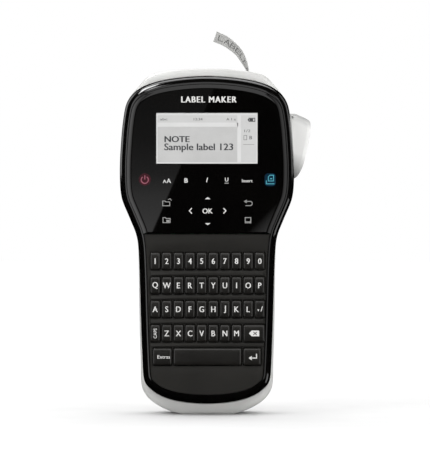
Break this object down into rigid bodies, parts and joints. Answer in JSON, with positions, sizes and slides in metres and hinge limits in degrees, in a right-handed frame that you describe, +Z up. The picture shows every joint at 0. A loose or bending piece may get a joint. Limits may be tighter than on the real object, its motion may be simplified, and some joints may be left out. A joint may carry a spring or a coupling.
{
  "type": "label maker",
  "caption": "Handheld label maker that stands on its foot: keyboard grip, wide head with screen, thumb-pressed cutter lever, tape bay behind a rear door.",
  "frame": {"origin": "centre of the flat foot that the body stands on", "axes": "+Z up the body to the tape exit, -Y out of the keys and screen, +X towards the cutter lever"},
  "size_m": [0.1143, 0.0559, 0.2311],
  "materials": {
    "gloss_black": "mirror gloss",
    "black_shell": "gloss rim, fine matte texture round the keys",
    "key_plastic": "satin",
    "silver_plastic": "satin metallic paint effect",
    "white_plastic": "satin pearl",
    "screen": "reflective display",
    "circuit_board": "solder mask",
    "frame_plastic": "moulded",
    "steel": "plated",
    "gear_plastic": "moulded",
    "platen_rubber": "ground",
    "cassette_plastic": "moulded",
    "battery_wrap": "shrink wrap",
    "label_film": "laminated film"
  },
  "bodies": {
    "root": {"front_housing": "black_shell", "face_panel": "gloss_black", "lcd_module": "screen", "circuit_board": "circuit_board", "rear_housing": "silver_plastic", "mid_frame": "frame_plastic", "battery_pack": "battery_wrap", "tape_cassette": "cassette_plastic", "print_head": "steel", "drive_motor": "steel", "label_tape": "label_film"},
    "cutter_lever": {"cutter_lever": "white_plastic"},
    "cutter_blade": {"cutter_blade": "steel"},
    "cassette_door": {"cassette_door": "silver_plastic"},
    "battery_door": {"battery_door": "silver_plastic"},
    "platen_roller": {"platen_roller": "platen_rubber"},
    "idler_gear": {"idler_gear": "gear_plastic"},
    "motor_pinion": {"motor_pinion": "steel"},
    "key_1": {"key_1": "key_plastic"},
    "key_2": {"key_2": "key_plastic"},
    "key_3": {"key_3": "key_plastic"},
    "key_4": {"key_4": "key_plastic"},
    "key_5": {"key_5": "key_plastic"},
    "key_6": {"key_6": "key_plastic"},
    "key_7": {"key_7": "key_plastic"},
    "key_8": {"key_8": "key_plastic"},
    "key_9": {"key_9": "key_plastic"},
    "key_0": {"key_0": "key_plastic"},
    "key_q": {"key_q": "key_plastic"},
    "key_w": {"key_w": "key_plastic"},
    "key_e": {"key_e": "key_plastic"},
    "key_r": {"key_r": "key_plastic"},
    "key_t": {"key_t": "key_plastic"},
    "key_y": {"key_y": "key_plastic"},
    "key_u": {"key_u": "key_plastic"},
    "key_i": {"key_i": "key_plastic"},
    "key_o": {"key_o": "key_plastic"},
    "key_p": {"key_p": "key_plastic"},
    "key_a": {"key_a": "key_plastic"},
    "key_s": {"key_s": "key_plastic"},
    "key_d": {"key_d": "key_plastic"},
    "key_f": {"key_f": "key_plastic"},
    "key_g": {"key_g": "key_plastic"},
    "key_h": {"key_h": "key_plastic"},
    "key_j": {"key_j": "key_plastic"},
    "key_k": {"key_k": "key_plastic"},
    "key_l": {"key_l": "key_plastic"},
    "key_comma": {"key_comma": "key_plastic"},
    "key_caps": {"key_caps": "key_plastic"},
    "key_z": {"key_z": "key_plastic"},
    "key_x": {"key_x": "key_plastic"},
    "key_c": {"key_c": "key_plastic"},
    "key_v": {"key_v": "key_plastic"},
    "key_b": {"key_b": "key_plastic"},
    "key_n": {"key_n": "key_plastic"},
    "key_m": {"key_m": "key_plastic"},
    "key_backspace": {"key_backspace": "key_plastic"},
    "key_extras": {"key_extras": "key_plastic"},
    "key_space": {"key_space": "key_plastic"},
    "key_return": {"key_return": "key_plastic"}
  },
  "joints": [
    {"name": "cutter_lever_press", "type": "hinge", "parent": "root", "child": "cutter_lever", "pos_m": [0.04995, 0, 0.1433], "axis": [0, -1, 0], "range_deg": [0, 8], "stiffness_Nm_per_rad": 1.2, "springref_deg": -3.44},
    {"name": "cutter_blade_slide", "type": "slide", "parent": "root", "child": "cutter_blade", "axis": [-1, 0, 0], "range_m": [0, 0.0049]},
    {"name": "cassette_door_hinge", "type": "hinge", "parent": "root", "child": "cassette_door", "pos_m": [0, 0.0268, 0.1193], "axis": [-1, 0, 0], "range_deg": [0, 110]},
    {"name": "battery_door_slide", "type": "slide", "parent": "root", "child": "battery_door", "axis": [0, 0, -1], "range_m": [0, 0.008]},
    {"name": "drive_platen_spin", "type": "hinge", "parent": "root", "child": "platen_roller", "pos_m": [0.0294, 0.0005, 0.172], "axis": [0, 1, 0], "continuous": true},
    {"name": "drive_idler_spin", "type": "hinge", "parent": "root", "child": "idler_gear", "pos_m": [0.01714, 0.0005, 0.16172], "axis": [0, 1, 0], "continuous": true},
    {"name": "drive_pinion_spin", "type": "hinge", "parent": "root", "child": "motor_pinion", "pos_m": [0.00361, 0.0005, 0.15679], "axis": [0, 1, 0], "continuous": true},
    {"name": "key_1_press", "type": "slide", "parent": "root", "child": "key_1", "axis": [0, 1, 0], "range_m": [0, 0.0008], "stiffness_N_per_m": 400},
    {"name": "key_2_press", "type": "slide", "parent": "root", "child": "key_2", "axis": [0, 1, 0], "range_m": [0, 0.0008], "stiffness_N_per_m": 400},
    {"name": "key_3_press", "type": "slide", "parent": "root", "child": "key_3", "axis": [0, 1, 0], "range_m": [0, 0.0008], "stiffness_N_per_m": 400},
    {"name": "key_4_press", "type": "slide", "parent": "root", "child": "key_4", "axis": [0, 1, 0], "range_m": [0, 0.0008], "stiffness_N_per_m": 400},
    {"name": "key_5_press", "type": "slide", "parent": "root", "child": "key_5", "axis": [0, 1, 0], "range_m": [0, 0.0008], "stiffness_N_per_m": 400},
    {"name": "key_6_press", "type": "slide", "parent": "root", "child": "key_6", "axis": [0, 1, 0], "range_m": [0, 0.0008], "stiffness_N_per_m": 400},
    {"name": "key_7_press", "type": "slide", "parent": "root", "child": "key_7", "axis": [0, 1, 0], "range_m": [0, 0.0008], "stiffness_N_per_m": 400},
    {"name": "key_8_press", "type": "slide", "parent": "root", "child": "key_8", "axis": [0, 1, 0], "range_m": [0, 0.0008], "stiffness_N_per_m": 400},
    {"name": "key_9_press", "type": "slide", "parent": "root", "child": "key_9", "axis": [0, 1, 0], "range_m": [0, 0.0008], "stiffness_N_per_m": 400},
    {"name": "key_0_press", "type": "slide", "parent": "root", "child": "key_0", "axis": [0, 1, 0], "range_m": [0, 0.0008], "stiffness_N_per_m": 400},
    {"name": "key_q_press", "type": "slide", "parent": "root", "child": "key_q", "axis": [0, 1, 0], "range_m": [0, 0.0008], "stiffness_N_per_m": 400},
    {"name": "key_w_press", "type": "slide", "parent": "root", "child": "key_w", "axis": [0, 1, 0], "range_m": [0, 0.0008], "stiffness_N_per_m": 400},
    {"name": "key_e_press", "type": "slide", "parent": "root", "child": "key_e", "axis": [0, 1, 0], "range_m": [0, 0.0008], "stiffness_N_per_m": 400},
    {"name": "key_r_press", "type": "slide", "parent": "root", "child": "key_r", "axis": [0, 1, 0], "range_m": [0, 0.0008], "stiffness_N_per_m": 400},
    {"name": "key_t_press", "type": "slide", "parent": "root", "child": "key_t", "axis": [0, 1, 0], "range_m": [0, 0.0008], "stiffness_N_per_m": 400},
    {"name": "key_y_press", "type": "slide", "parent": "root", "child": "key_y", "axis": [0, 1, 0], "range_m": [0, 0.0008], "stiffness_N_per_m": 400},
    {"name": "key_u_press", "type": "slide", "parent": "root", "child": "key_u", "axis": [0, 1, 0], "range_m": [0, 0.0008], "stiffness_N_per_m": 400},
    {"name": "key_i_press", "type": "slide", "parent": "root", "child": "key_i", "axis": [0, 1, 0], "range_m": [0, 0.0008], "stiffness_N_per_m": 400},
    {"name": "key_o_press", "type": "slide", "parent": "root", "child": "key_o", "axis": [0, 1, 0], "range_m": [0, 0.0008], "stiffness_N_per_m": 400},
    {"name": "key_p_press", "type": "slide", "parent": "root", "child": "key_p", "axis": [0, 1, 0], "range_m": [0, 0.0008], "stiffness_N_per_m": 400},
    {"name": "key_a_press", "type": "slide", "parent": "root", "child": "key_a", "axis": [0, 1, 0], "range_m": [0, 0.0008], "stiffness_N_per_m": 400},
    {"name": "key_s_press", "type": "slide", "parent": "root", "child": "key_s", "axis": [0, 1, 0], "range_m": [0, 0.0008], "stiffness_N_per_m": 400},
    {"name": "key_d_press", "type": "slide", "parent": "root", "child": "key_d", "axis": [0, 1, 0], "range_m": [0, 0.0008], "stiffness_N_per_m": 400},
    {"name": "key_f_press", "type": "slide", "parent": "root", "child": "key_f", "axis": [0, 1, 0], "range_m": [0, 0.0008], "stiffness_N_per_m": 400},
    {"name": "key_g_press", "type": "slide", "parent": "root", "child": "key_g", "axis": [0, 1, 0], "range_m": [0, 0.0008], "stiffness_N_per_m": 400},
    {"name": "key_h_press", "type": "slide", "parent": "root", "child": "key_h", "axis": [0, 1, 0], "range_m": [0, 0.0008], "stiffness_N_per_m": 400},
    {"name": "key_j_press", "type": "slide", "parent": "root", "child": "key_j", "axis": [0, 1, 0], "range_m": [0, 0.0008], "stiffness_N_per_m": 400},
    {"name": "key_k_press", "type": "slide", "parent": "root", "child": "key_k", "axis": [0, 1, 0], "range_m": [0, 0.0008], "stiffness_N_per_m": 400},
    {"name": "key_l_press", "type": "slide", "parent": "root", "child": "key_l", "axis": [0, 1, 0], "range_m": [0, 0.0008], "stiffness_N_per_m": 400},
    {"name": "key_comma_press", "type": "slide", "parent": "root", "child": "key_comma", "axis": [0, 1, 0], "range_m": [0, 0.0008], "stiffness_N_per_m": 400},
    {"name": "key_caps_press", "type": "slide", "parent": "root", "child": "key_caps", "axis": [0, 1, 0], "range_m": [0, 0.0008], "stiffness_N_per_m": 400},
    {"name": "key_z_press", "type": "slide", "parent": "root", "child": "key_z", "axis": [0, 1, 0], "range_m": [0, 0.0008], "stiffness_N_per_m": 400},
    {"name": "key_x_press", "type": "slide", "parent": "root", "child": "key_x", "axis": [0, 1, 0], "range_m": [0, 0.0008], "stiffness_N_per_m": 400},
    {"name": "key_c_press", "type": "slide", "parent": "root", "child": "key_c", "axis": [0, 1, 0], "range_m": [0, 0.0008], "stiffness_N_per_m": 400},
    {"name": "key_v_press", "type": "slide", "parent": "root", "child": "key_v", "axis": [0, 1, 0], "range_m": [0, 0.0008], "stiffness_N_per_m": 400},
    {"name": "key_b_press", "type": "slide", "parent": "root", "child": "key_b", "axis": [0, 1, 0], "range_m": [0, 0.0008], "stiffness_N_per_m": 400},
    {"name": "key_n_press", "type": "slide", "parent": "root", "child": "key_n", "axis": [0, 1, 0], "range_m": [0, 0.0008], "stiffness_N_per_m": 400},
    {"name": "key_m_press", "type": "slide", "parent": "root", "child": "key_m", "axis": [0, 1, 0], "range_m": [0, 0.0008], "stiffness_N_per_m": 400},
    {"name": "key_backspace_press", "type": "slide", "parent": "root", "child": "key_backspace", "axis": [0, 1, 0], "range_m": [0, 0.0008], "stiffness_N_per_m": 400},
    {"name": "key_extras_press", "type": "slide", "parent": "root", "child": "key_extras", "axis": [0, 1, 0], "range_m": [0, 0.0008], "stiffness_N_per_m": 400},
    {"name": "key_space_press", "type": "slide", "parent": "root", "child": "key_space", "axis": [0, 1, 0], "range_m": [0, 0.0008], "stiffness_N_per_m": 600},
    {"name": "key_return_press", "type": "slide", "parent": "root", "child": "key_return", "axis": [0, 1, 0], "range_m": [0, 0.0008], "stiffness_N_per_m": 400}
  ],
  "couplings": [
    {"joint": "drive_idler_spin", "follows": "drive_platen_spin", "ratio": -0.66667},
    {"joint": "drive_pinion_spin", "follows": "drive_platen_spin", "ratio": 1.3333},
    {"joint": "cutter_blade_slide", "follows": "cutter_lever_press", "m_per_rad": 0.035}
  ]
}
